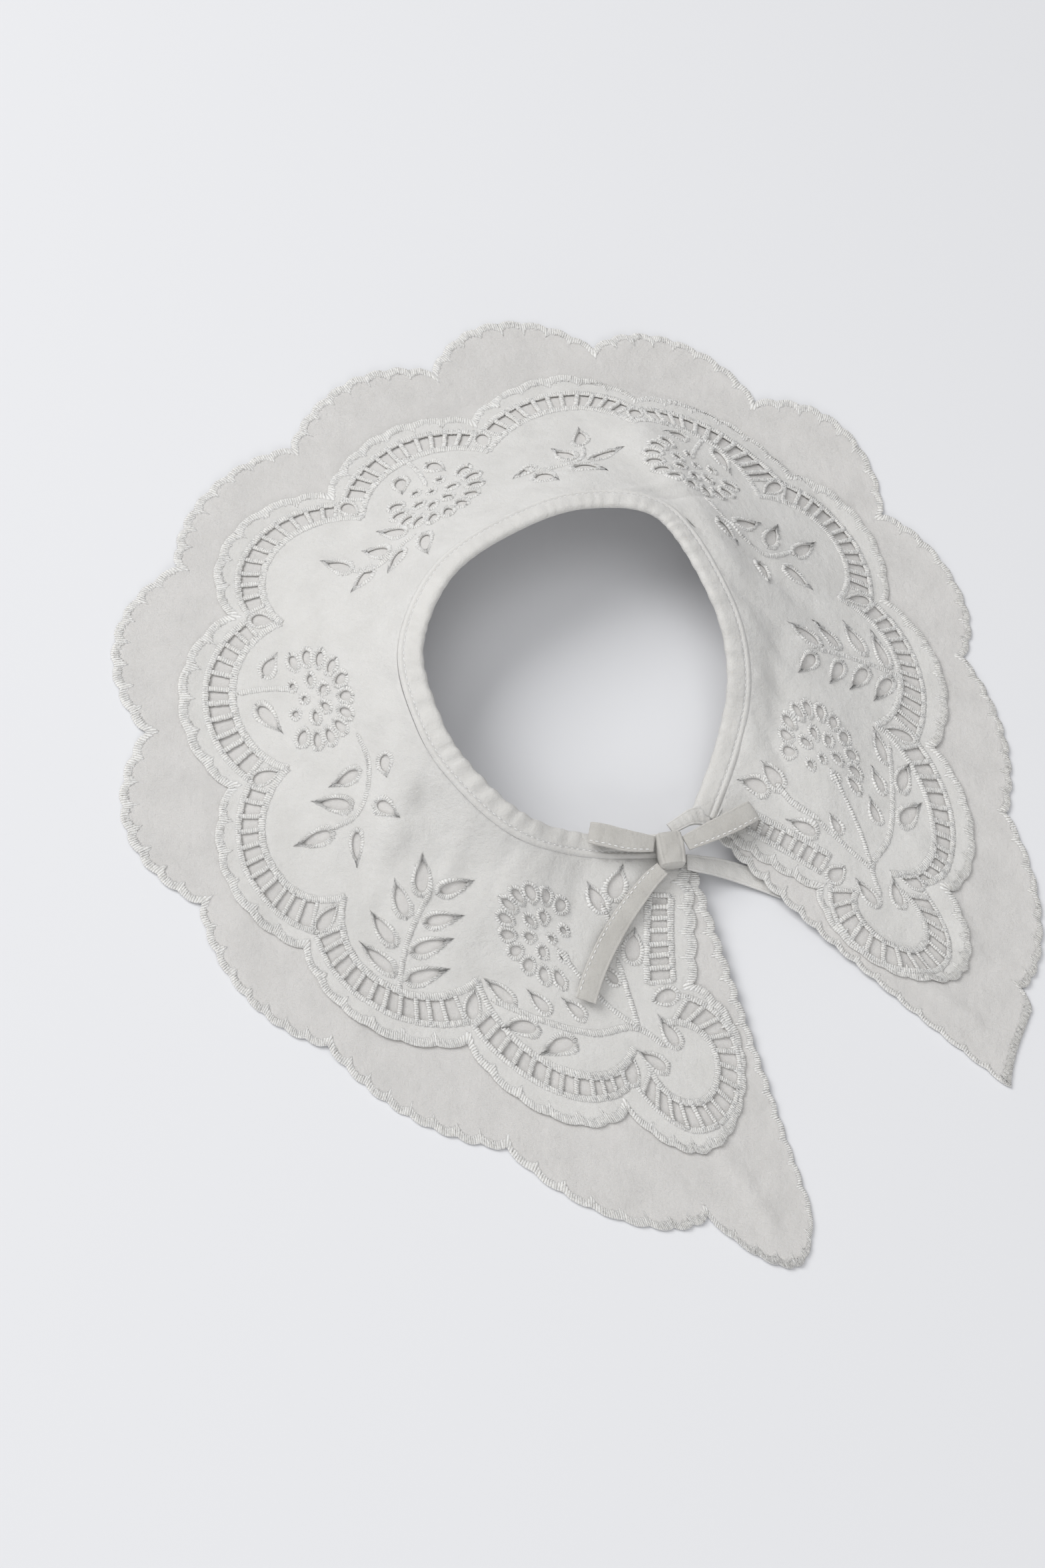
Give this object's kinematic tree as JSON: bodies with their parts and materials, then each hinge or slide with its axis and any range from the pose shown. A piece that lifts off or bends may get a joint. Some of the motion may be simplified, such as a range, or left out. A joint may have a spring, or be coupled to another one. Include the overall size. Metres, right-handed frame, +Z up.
{
  "type": "embroidered bow collar",
  "caption": "Detachable tiered cotton collar with cutwork, scalloped hems, a ruched neckband and a tied bow, laid flat on a surface.",
  "frame": {"origin": "centre of the collar's plan box, on the surface that it lies on", "axes": "+Z up from the surface, +Y toward the centre back of the neck, the bow toward -Y"},
  "size_m": [0.3555, 0.4032, 0.0546],
  "materials": {
    "lower_collar": "matt woven cotton",
    "upper_collar": "matt woven cotton with satin stitching",
    "neckband": "matt gathered cotton",
    "bow_knot": "matt cotton tie",
    "bow_loop_left": "matt cotton tie",
    "bow_loop_right": "matt cotton tie",
    "tail_left": "matt cotton tie",
    "tail_right": "matt cotton tie",
    "tie_right": "matt cotton tie"
  },
  "bodies": {
    "root": {"lower_collar": "lower_collar", "upper_collar": "upper_collar", "neckband": "neckband", "bow_knot": "bow_knot", "bow_loop_left": "bow_loop_left", "bow_loop_right": "bow_loop_right", "tail_left": "tail_left", "tail_right": "tail_right", "tie_right": "tie_right"}
  },
  "joints": []
}
